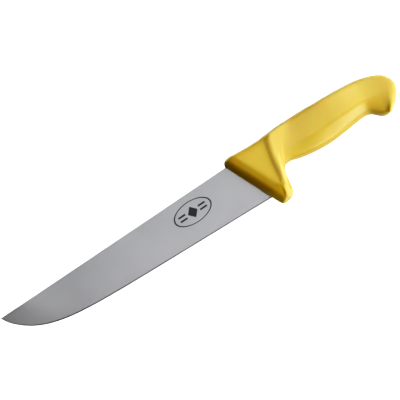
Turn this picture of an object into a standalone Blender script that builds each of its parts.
"""Butcher's knife: a steel blade with a hidden tang, a hard plastic handle core
moulded round the tang, and a soft grip sleeve moulded over the core.

The knife lies on its side: +X runs from the tip to the butt, +Y is the spine
side and +Z is up through the thickness. All drawing numbers are millimetres.
In the drawing the spine is y = 0, the point where the spine enters the handle
is x = 0, and the middle plane of the blade is z = 0.

Every piece is a loft. A station is a line across the knife from its top edge
to its bottom edge, and each station becomes one closed ring round the piece.
"""
import math
from collections import namedtuple

import bmesh
import bpy
import numpy as np

MM = 0.001
CLEARANCE = 0.3

# Blade
BLADE_LENGTH = 202.0
SPINE_HALF = 1.25
DISTAL_TAPER = 0.00127
GRIND_SLOPE = 0.0287
EDGE_HALF = 0.19
EDGE_WEDGE = math.tan(math.radians(2.6))
BEVEL_WIDTH = 0.75
CHAMFER = 0.3
BELLY_DEPTH = 27.3
BELLY_LENGTH = 19.7
BELLY_SLOPE = 0.0418
TIP_DEPTH = 1.5
TIP_LENGTH = 1.5
FRONT_LEAN = 0.448
LEAN_START = -120.0

# Tang
TANG_HOLES = (40.0, 65.0, 90.0)
TANG_HOLE_Y = -10.6
TANG_HOLE_RADIUS = 3.2

# Handle
LIP_HALF = 2.2
CHEEK_HALF = 8.5
BANK_WIDTH = 4.2
BANK_SLOPE = 0.76
BANK_BLEND = 2.0
FRONT_WIDTH = 10.7
FRONT_SLOPE = 0.29
FRONT_BLEND = 1.2
CREASE_WIDTH = 1.6
CROWN = 0.9
CROWN_START = 62.0
CROWN_FULL = 84.0
NOSE_LIP = 1.1
NOSE_SLOPE = 1.05
NOSE_LOW = -38.0
NOSE_HIGH = -28.0
NOSE_END = 60.0
STEP_GAP = 0.35
GROOVES = (60.0, 74.0, 88.0, 102.0)
GROOVE_WIDTH = 6.0
GROOVE_DEPTH = 0.7

BladeStation = namedtuple("BladeStation", "top_x top_y bottom_x bottom_y grind bevel")
HandleStation = namedtuple(
    "HandleStation",
    "top_x top_y bottom_x bottom_y upper_bow lower_bow side crease foot top_round bottom_round",
)

# The blade from where it enters the handle to the end of the tang.
TANG_STATIONS = [
    BladeStation(5.0, 0.0, 21.4, -37.9, 1.0, 0.75),
    BladeStation(6.3, -0.35, 22.4, -36.8, 1.0, 0.6),
    BladeStation(7.6, -1.5, 22.9, -34.0, 0.9, 0.4),
    BladeStation(9.0, -2.7, 23.2, -29.5, 0.7, 0.3),
    BladeStation(12.0, -3.2, 24.4, -25.5, 0.4, 0.3),
    BladeStation(17.0, -3.2, 28.0, -22.8, 0.15, 0.3),
    BladeStation(28.0, -3.2, 36.0, -20.0, 0.0, 0.3),
    BladeStation(45.0, -3.4, 47.0, -17.8, 0.0, 0.3),
    BladeStation(75.0, -4.2, 75.0, -17.0, 0.0, 0.3),
    BladeStation(100.0, -5.0, 100.0, -16.2, 0.0, 0.3),
    BladeStation(104.0, -5.8, 104.0, -15.4, 0.0, 0.3),
    BladeStation(106.3, -7.8, 106.3, -13.4, 0.0, 0.3),
]

# The visible front of the core, from the blade to the foot of the sleeve's step.
CORE_STATIONS = [
    HandleStation(0.0, 0.8, 19.6, -44.2, 0.0, 0.0, 8.5, -33.0, 0.6, 0.7, 1.0),
    HandleStation(0.7, 2.6, 20.3, -45.4, 0.0, 0.0, 8.5, -33.0, 0.6, 1.2, 1.5),
    HandleStation(2.3, 4.2, 21.0, -46.3, 0.0, 0.0, 8.5, -33.0, 0.6, 2.0, 1.8),
    HandleStation(4.6, 4.95, 21.6, -46.8, 0.0, 0.2, 8.5, -33.0, 0.6, 2.4, 2.1),
    HandleStation(7.6, 5.2, 22.1, -47.0, -0.3, 0.4, 8.5, -33.0, 0.6, 2.4, 2.3),
    HandleStation(11.0, 4.75, 22.4, -47.05, -0.7, 0.6, 8.5, -33.0, 0.6, 2.4, 2.5),
    HandleStation(16.0, 4.3, 22.6, -47.08, -1.3, 1.0, 8.5, -33.0, 0.6, 2.4, 2.7),
    HandleStation(23.0, 3.8, 22.75, -47.09, -2.3, 1.5, 8.5, -33.0, 0.6, 2.4, 2.9),
    HandleStation(30.2, 3.6, 22.9, -47.1, -3.7, 2.0, 8.5, -33.0, 0.6, 2.4, 3.0),
    HandleStation(33.4, 3.75, 23.0, -47.1, -4.4, 2.9, 8.55, -32.5, 0.6, 2.4, 3.1),
    HandleStation(36.2, 3.92, 23.1, -47.1, -5.0, 4.0, 8.8, -32.0, 0.6, 2.4, 3.2),
]

# The hidden stub of the core inside the sleeve.
STUB_STATIONS = [
    HandleStation(35.02, 1.62, 25.88, -40.11, -3.63, 1.30, 6.0, -26.0, 0.5, 3.5, 3.0),
    HandleStation(40.5, 1.95, 30.0, -37.0, -4.2, 1.2, 6.4, -24.0, 0.5, 3.5, 3.0),
    HandleStation(44.5, 2.0, 32.2, -30.0, -3.0, 0.0, 6.2, -19.0, 0.5, 3.5, 3.0),
    HandleStation(48.0, 2.0, 34.6, -22.8, -1.6, 0.2, 5.7, -14.0, 0.5, 3.5, 3.0),
    HandleStation(52.0, 2.0, 40.5, -20.2, -0.6, 0.0, 5.3, -12.5, 0.5, 3.5, 3.0),
    HandleStation(56.5, 1.9, 47.0, -21.3, 0.0, 0.0, 5.2, -12.0, 0.48, 3.5, 3.5),
    HandleStation(66.0, 1.6, 60.0, -24.0, 0.0, 0.0, 5.5, -13.0, 0.42, 3.5, 4.0),
    HandleStation(80.0, 0.9, 78.0, -25.8, 0.0, 0.0, 6.2, -14.0, 0.42, 3.5, 4.0),
    HandleStation(96.0, -0.1, 96.0, -24.7, 0.0, 0.0, 6.5, -14.0, 0.42, 3.5, 4.0),
    HandleStation(108.0, -1.3, 107.0, -23.6, 0.0, 0.0, 6.0, -14.0, 0.42, 3.5, 4.0),
    HandleStation(112.5, -2.6, 111.5, -22.6, 0.0, 0.0, 5.0, -15.0, 0.5, 3.5, 4.0),
    HandleStation(114.5, -5.0, 113.5, -20.4, 0.0, 0.0, 3.0, -14.5, 0.6, 3.0, 3.0),
]

# The outside of the sleeve, from its step over the grip to the flared butt.
SLEEVE_STATIONS = [
    HandleStation(36.55, 3.93, 23.45, -47.1, -5.0, 4.0, 8.8, -32.0, 0.6, 2.4, 3.2),
    HandleStation(37.9, 3.98, 23.6, -47.1, -5.4, 5.0, 9.06, -31.0, 0.61, 2.4, 3.3),
    HandleStation(39.2, 4.02, 23.85, -47.1, -5.9, 6.0, 9.32, -30.0, 0.62, 2.4, 3.5),
    HandleStation(40.3, 4.06, 24.2, -47.1, -6.4, 7.0, 9.52, -28.5, 0.62, 2.4, 3.9),
    HandleStation(41.3, 4.1, 25.2, -47.05, -6.8, 7.2, 9.62, -26.5, 0.62, 2.4, 4.4),
    HandleStation(42.4, 4.18, 27.6, -46.8, -6.7, 5.0, 9.6, -22.5, 0.62, 2.4, 4.8),
    HandleStation(44.2, 4.35, 29.9, -45.8, -6.2, 2.2, 9.2, -18.0, 0.64, 2.4, 5.2),
    HandleStation(46.5, 4.45, 32.0, -43.8, -4.6, -2.3, 8.65, -13.0, 0.72, 2.4, 5.4),
    HandleStation(49.0, 4.5, 33.6, -40.6, -3.6, -4.9, 8.2, -12.2, 0.77, 2.4, 5.4),
    HandleStation(51.5, 4.5, 34.4, -35.6, -2.0, -4.6, 7.74, -12.0, 0.81, 2.4, 5.0),
    HandleStation(54.0, 4.45, 36.1, -28.1, -0.5, -3.3, 7.34, -12.2, 0.83, 2.4, 4.6),
    HandleStation(56.5, 4.38, 38.6, -23.7, 0.0, -0.6, 7.04, -12.8, 0.83, 2.4, 4.0),
    HandleStation(59.5, 4.32, 43.0, -23.3, 0.0, 0.0, 6.9, -13.5, 0.79, 2.4, 4.0),
    HandleStation(63.0, 4.25, 50.0, -25.2, 0.0, 0.0, 7.05, -14.3, 0.69, 2.4, 4.2),
    HandleStation(67.0, 4.2, 58.0, -27.0, 0.0, 0.0, 7.45, -15.1, 0.57, 2.4, 4.6),
    HandleStation(72.0, 4.05, 67.0, -28.2, 0.0, 0.0, 8.0, -15.8, 0.47, 2.4, 4.6),
    HandleStation(80.0, 3.45, 78.0, -28.8, 0.0, 0.0, 8.8, -16.2, 0.41, 2.4, 4.6),
    HandleStation(90.5, 2.9, 90.5, -27.85, 0.0, 0.0, 9.35, -16.2, 0.39, 2.4, 4.6),
    HandleStation(99.0, 2.25, 100.0, -27.0, 0.0, 0.0, 9.3, -16.2, 0.39, 2.4, 4.6),
    HandleStation(106.0, 1.6, 106.5, -26.6, 0.0, 0.0, 8.95, -16.3, 0.41, 2.4, 4.6),
    HandleStation(112.0, 0.9, 110.2, -26.85, 0.0, 0.0, 8.6, -16.6, 0.45, 2.4, 4.6),
    HandleStation(116.2, 0.15, 113.2, -28.2, 0.0, 0.0, 8.45, -17.2, 0.5, 2.4, 4.6),
    HandleStation(120.6, -0.9, 116.0, -30.9, 0.2, 0.2, 8.5, -18.0, 0.56, 2.4, 4.2),
    HandleStation(125.4, -2.4, 118.6, -33.3, 0.4, 0.4, 8.7, -19.2, 0.62, 2.4, 3.9),
    HandleStation(130.0, -4.3, 120.8, -34.6, 0.8, 0.7, 9.05, -20.3, 0.68, 2.4, 3.7),
    HandleStation(134.2, -6.9, 122.3, -34.95, 1.1, 1.0, 9.45, -21.5, 0.77, 2.4, 3.6),
    HandleStation(137.1, -10.0, 123.3, -35.05, 1.2, 1.1, 9.7, -22.6, 0.87, 2.4, 3.5),
    HandleStation(138.8, -13.1, 124.4, -35.0, 1.2, 1.2, 9.6, -23.5, 0.93, 2.4, 3.5),
    HandleStation(139.35, -15.4, 126.5, -34.7, 1.7, 1.6, 8.9, -24.5, 0.92, 2.4, 3.6),
    HandleStation(139.7, -17.0, 128.2, -33.9, 2.0, 1.9, 7.5, -25.0, 0.9, 2.4, 3.8),
    HandleStation(139.85, -18.3, 129.6, -32.9, 2.2, 2.1, 5.5, -25.3, 0.88, 2.4, 4.0),
    HandleStation(139.9, -19.2, 130.8, -32.0, 2.3, 2.0, 3.0, -25.5, 0.86, 2.4, 3.6),
]


def smoothstep(low, high, value):
    """Return 0 below low, 1 above high, and an eased value in between."""
    ratio = min(max((value - low) / (high - low), 0.0), 1.0)
    return ratio * ratio * (3.0 - 2.0 * ratio)


def smooth_min(a, b, width):
    """The lower of two values, with the corner between them rounded over a width."""
    blend = max(width - abs(a - b), 0.0) / width
    return min(a, b) - 0.25 * width * blend * blend


def refine(stations, steps):
    """Insert stations so each span has the given number of steps, without overshoot."""
    rows = np.array(stations, dtype=float)
    change = np.diff(rows, axis=0)
    slope = np.zeros_like(rows)
    slope[0] = change[0]
    slope[-1] = change[-1]
    same_way = change[:-1] * change[1:] > 0.0
    total = np.where(same_way, change[:-1] + change[1:], 1.0)
    slope[1:-1] = np.where(same_way, 2.0 * change[:-1] * change[1:] / total, 0.0)
    kind = type(stations[0])
    result = []
    for index in range(len(rows) - 1):
        for step in range(steps):
            t = step / steps
            row = (
                (1.0 + 2.0 * t) * (1.0 - t) ** 2 * rows[index]
                + t * (1.0 - t) ** 2 * slope[index]
                + t * t * (3.0 - 2.0 * t) * rows[index + 1]
                + t * t * (t - 1.0) * slope[index + 1]
            )
            result.append(kind(*row))
    result.append(stations[-1])
    return result


LOWER_OUTLINE = np.array([
    (station.bottom_x, station.bottom_y)
    for station in refine(CORE_STATIONS, 3) + refine(SLEEVE_STATIONS, 3)
])


# ---------------------------------------------------------------- blade shape

def belly_depth(along):
    """Depth of the blade below the spine at a distance from the tip."""
    return (
        BELLY_DEPTH * (1.0 - math.exp(-along / BELLY_LENGTH))
        + BELLY_SLOPE * along
        + TIP_DEPTH * (1.0 - math.exp(-along / TIP_LENGTH))
    )


def flat_half(x, depth, grind):
    """Half thickness of the flat-ground blade at a point on its side."""
    heel_distance = max(-x, 0.0)
    return SPINE_HALF - DISTAL_TAPER * heel_distance - GRIND_SLOPE * grind * depth


def blade_half(x, y, grind):
    """Half thickness including the extra thinning behind the edge near the tip."""
    along = max(x + BLADE_LENGTH, 0.0)
    flat = flat_half(x, -y, grind)
    if grind < 1.0 or x > 0.0:
        return flat
    fall = BELLY_DEPTH / BELLY_LENGTH * math.exp(-along / BELLY_LENGTH) + BELLY_SLOPE
    edge_distance = max(belly_depth(along) + y, 0.0) / math.hypot(1.0, fall)
    return min(flat, EDGE_HALF + EDGE_WEDGE * edge_distance)


def blade_stations():
    """Stations from the tip to the handle, leaning over to match the handle's front."""
    stations = []
    for along in (0.35, 1.2, 2.5, 4.5, 7.0, 10.0, 14.0, 19.0, 25.0, 33.0, 43.0, 56.0,
                  72.0, 92.0, 115.0, 140.0, 165.0, 190.0, 207.0, 219.0):
        depth = belly_depth(along)
        x = along - BLADE_LENGTH
        lean = FRONT_LEAN * smoothstep(LEAN_START, 0.0, x)
        bevel = min(BEVEL_WIDTH, 0.3 * depth)
        stations.append(BladeStation(x - lean * depth, 0.0, x, -depth, 1.0, bevel))
    return stations


def blade_ring(station, grow):
    """One ring round the blade: the spine, down one face to the edge, up the other."""
    top = np.array((station.top_x, station.top_y))
    bottom = np.array((station.bottom_x, station.bottom_y))
    length = np.linalg.norm(bottom - top)
    along = (bottom - top) / length
    chamfer = min(CHAMFER, 0.1 * length)
    crown = 0.2 * chamfer
    flat_end = length - station.bevel
    distances = [crown] + [
        chamfer + part * (flat_end - chamfer) for part in (0.0, 0.25, 0.5, 0.7, 0.87, 1.0)
    ]
    side = []
    for index, distance in enumerate(distances):
        x, y = top + distance * along
        half = blade_half(x, y, station.grind)
        offset = 0.0
        if index == 0:
            half *= 0.75
            offset = -grow
        elif index == len(distances) - 1:
            offset = grow
        x, y = top + (distance + offset) * along
        side.append((x, y, half + grow))
    start = tuple(top - grow * along) + (0.0,)
    end = tuple(bottom + grow * along) + (0.0,)
    return [start] + side + [end] + [(x, y, -z) for x, y, z in reversed(side)]


# --------------------------------------------------------------- handle shape

def front_share(x, y):
    """Share of the full thickness reached at a point behind the handle's front line."""
    distance = max((x + FRONT_LEAN * y) / math.hypot(1.0, FRONT_LEAN), 0.0)
    half = LIP_HALF
    half += BANK_SLOPE * smooth_min(distance, BANK_WIDTH, BANK_BLEND)
    half += FRONT_SLOPE * smooth_min(distance, FRONT_WIDTH, FRONT_BLEND)
    return half / CHEEK_HALF


def round_off(distance, radius):
    """Quarter ellipse rising from 0 at an outline to 1 one radius inside it."""
    ratio = 1.0 - min(max(distance / radius, 0.0), 1.0)
    return math.sqrt(1.0 - ratio * ratio)


def bottom_distance(x, y):
    """Distance from a point to the handle's lower outline."""
    start = LOWER_OUTLINE[:-1]
    span = LOWER_OUTLINE[1:] - start
    reach = ((np.array((x, y)) - start) * span).sum(axis=1) / (span * span).sum(axis=1)
    nearest = start + np.clip(reach, 0.0, 1.0)[:, None] * span
    return np.hypot(nearest[:, 0] - x, nearest[:, 1] - y).min()


def nose_limit(x, y):
    """Half thickness left by the facet under the nose; no limit away from the nose."""
    if y > NOSE_HIGH or x > NOSE_END:
        return 2.0 * CHEEK_HALF
    relief = 2.0 * CHEEK_HALF * smoothstep(NOSE_LOW, NOSE_HIGH, y)
    return NOSE_LIP + NOSE_SLOPE * bottom_distance(x, y) + relief


def handle_ring(station, corner_steps, grow=0.0, hidden=False):
    """One ring round the handle: top, down the side face and lower facet, and back up.

    The hidden stub keeps the plain section; the outside also follows the handle's
    sloping front, its slightly crowned grip and the facet under the nose.
    """
    top = np.array((station.top_x, station.top_y))
    bottom = np.array((station.bottom_x, station.bottom_y))
    upper = top + (bottom - top) / 3.0 + np.array((station.upper_bow, 0.0))
    lower = bottom + (top - bottom) / 3.0 + np.array((station.lower_bow, 0.0))
    length = np.linalg.norm(bottom - top)
    crease = (station.crease - top[1]) / (bottom[1] - top[1]) * length
    turns = [1.0 - math.cos(0.5 * math.pi * step / corner_steps)
             for step in range(1, corner_steps + 1)]
    distances = [station.top_round * turn for turn in turns]
    bottom_start = length - station.bottom_round
    for part in (0.35, 0.7):
        distances.append(station.top_round + part * (crease - station.top_round))
    for nudge in (-0.06, 0.0, 0.06):
        distances.append(min(crease + nudge * length, bottom_start - 0.02 * length * (1 - nudge)))
    distances += [length - station.bottom_round * turn for turn in reversed(turns)]
    side = []
    for distance in distances:
        v = distance / length
        x, y = (
            (1.0 - v) ** 3 * top
            + 3.0 * v * (1.0 - v) ** 2 * upper
            + 3.0 * v * v * (1.0 - v) * lower
            + v ** 3 * bottom
        )
        past = -smooth_min(0.0, crease - distance, CREASE_WIDTH)
        half = station.side * (1.0 - (1.0 - station.foot) * past / (length - crease))
        low_reach = length - distance
        if not hidden:
            half *= front_share(x, y)
            half -= CROWN * smoothstep(CROWN_START, CROWN_FULL, x) * min(distance / crease, 1.0) ** 2
            half = smooth_min(half, nose_limit(x, y), 1.0)
            low_reach = bottom_distance(x, y)
        half *= round_off(distance, station.top_round)
        half *= round_off(low_reach, station.bottom_round)
        side.append((x, y, half + grow * min(1.0, half)))
    start = (top[0], top[1], 0.0)
    end = (bottom[0], bottom[1], 0.0)
    return [start] + side + [end] + [(x, y, -z) for x, y, z in reversed(side)]


def outward(points, sign):
    """Unit vectors across an outline, pointing away from the handle."""
    along = np.gradient(points, axis=0)
    along /= np.linalg.norm(along, axis=1)[:, None]
    return sign * np.stack((-along[:, 1], along[:, 0]), axis=1)


def stub_rings(corner_steps, grow=0.0):
    """Rings of the core's hidden stub, or of the sleeve's pocket when grown."""
    stations = refine(STUB_STATIONS, 3)
    tops = np.array([(station.top_x, station.top_y) for station in stations])
    bottoms = np.array([(station.bottom_x, station.bottom_y) for station in stations])
    new_tops = tops + grow * outward(tops, 1.0)
    new_bottoms = bottoms + grow * outward(bottoms, -1.0)
    rings = []
    for index, station in enumerate(stations):
        side = station.side
        for groove in GROOVES:
            side -= GROOVE_DEPTH * (1.0 - smoothstep(0.0, 0.5 * GROOVE_WIDTH,
                                                     abs(station.top_x - groove)))
        shift = STEP_GAP if grow > 0.0 and index == 0 else 0.0
        if index == len(stations) - 1:
            shift = grow
        moved = station._replace(
            side=side,
            top_x=new_tops[index][0] + shift, top_y=new_tops[index][1],
            bottom_x=new_bottoms[index][0] + shift, bottom_y=new_bottoms[index][1],
        )
        rings.append(handle_ring(moved, corner_steps, grow, hidden=True))
    return rings


# ------------------------------------------------------------ making the meshes

def cap_faces(ring):
    """Faces closing a ring, joining each point to its mirror point."""
    count = len(ring)
    half = count // 2
    faces = [(ring[0], ring[1], ring[count - 1])]
    for index in range(1, half - 1):
        faces.append((ring[index], ring[index + 1],
                      ring[count - index - 1], ring[count - index]))
    faces.append((ring[half - 1], ring[half], ring[half + 1]))
    return faces


def loft(name, rings):
    """Make one closed mesh object from rings, capped at both ends."""
    mesh = bmesh.new()
    levels = [[mesh.verts.new((x * MM, y * MM, z * MM)) for x, y, z in ring] for ring in rings]
    count = len(levels[0])
    for first, second in zip(levels, levels[1:]):
        for index in range(count):
            after = (index + 1) % count
            mesh.faces.new((first[index], first[after], second[after], second[index]))
    for face in cap_faces(levels[0]) + cap_faces(levels[-1]):
        mesh.faces.new(face)
    bmesh.ops.recalc_face_normals(mesh, faces=mesh.faces)
    data = bpy.data.meshes.new(name)
    mesh.to_mesh(data)
    mesh.free()
    piece = bpy.data.objects.new(name, data)
    bpy.context.scene.collection.objects.link(piece)
    return piece


def post(name, x, y, radius, half_height):
    """A vertical round cutter."""
    mesh = bmesh.new()
    bmesh.ops.create_cone(mesh, cap_ends=True, segments=32, radius1=radius * MM,
                          radius2=radius * MM, depth=2.0 * half_height * MM)
    bmesh.ops.translate(mesh, verts=mesh.verts, vec=(x * MM, y * MM, 0.0))
    data = bpy.data.meshes.new(name)
    mesh.to_mesh(data)
    mesh.free()
    cutter = bpy.data.objects.new(name, data)
    bpy.context.scene.collection.objects.link(cutter)
    return cutter


def cut(piece, cutter):
    """Subtract a cutter from a piece and keep the cutter out of the model."""
    modifier = piece.modifiers.new("cut_" + cutter.name, "BOOLEAN")
    modifier.operation = "DIFFERENCE"
    modifier.solver = "EXACT"
    modifier.object = cutter
    cutter.hide_render = True
    cutter.display_type = "WIRE"


def paint(piece, name, color, roughness, metallic):
    """Give a piece its own material."""
    material = bpy.data.materials.new(name)
    material.use_nodes = True
    shader = material.node_tree.nodes["Principled BSDF"]
    shader.inputs["Base Color"].default_value = (*color, 1.0)
    shader.inputs["Roughness"].default_value = roughness
    shader.inputs["Metallic"].default_value = metallic
    piece.data.materials.append(material)


def shade(piece, angle):
    """Smooth shading that keeps edges sharper than the angle in degrees."""
    piece.data.shade_smooth()
    piece.data.set_sharp_from_angle(angle=math.radians(angle))


def build():
    """Build the three pieces and set the origin at the bottom centre of the box."""
    corner_steps = 4
    visible = blade_stations()
    blade = loft("blade", [blade_ring(station, 0.0) for station in visible + TANG_STATIONS])
    for number, x in enumerate(TANG_HOLES, start=1):
        cut(blade, post(f"tang_hole_cutter_{number}", x, TANG_HOLE_Y, TANG_HOLE_RADIUS, 5.0))

    core_rings = [handle_ring(station, corner_steps) for station in refine(CORE_STATIONS, 2)]
    core = loft("handle_core", core_rings + stub_rings(corner_steps))
    pocket_stations = [station for station in visible if station.top_x > -30.0]
    last = TANG_STATIONS[-1]
    pocket_end = last._replace(top_x=last.top_x + CLEARANCE, bottom_x=last.bottom_x + CLEARANCE)
    pocket_stations += TANG_STATIONS[:-1] + [pocket_end]
    pocket = loft("tang_pocket_cutter",
                  [blade_ring(station, CLEARANCE) for station in pocket_stations])
    for number, x in enumerate(TANG_HOLES, start=1):
        plug_radius = TANG_HOLE_RADIUS - CLEARANCE
        cut(pocket, post(f"plug_keeper_{number}", x, TANG_HOLE_Y, plug_radius, 5.0))
    cut(core, pocket)

    outside = [handle_ring(station, corner_steps) for station in refine(SLEEVE_STATIONS, 2)]
    inside = stub_rings(corner_steps, CLEARANCE)
    sleeve = loft("grip_sleeve", list(reversed(outside)) + inside)

    paint(blade, "blade_steel", (0.55, 0.56, 0.58), 0.35, 1.0)
    paint(core, "core_yellow", (0.75, 0.55, 0.03), 0.4, 0.0)
    paint(sleeve, "sleeve_yellow", (0.80, 0.58, 0.03), 0.5, 0.0)
    shade(blade, 8.0)
    shade(core, 30.0)
    shade(sleeve, 30.0)

    pieces = [blade, core, sleeve]
    corners = np.array([vertex.co for piece in pieces for vertex in piece.data.vertices])
    low = corners.min(axis=0)
    high = corners.max(axis=0)
    shift = (-0.5 * (low[0] + high[0]), -0.5 * (low[1] + high[1]), -low[2])
    for item in bpy.context.scene.collection.objects:
        item.location = shift


for leftover in list(bpy.data.objects):
    bpy.data.objects.remove(leftover, do_unlink=True)
build()
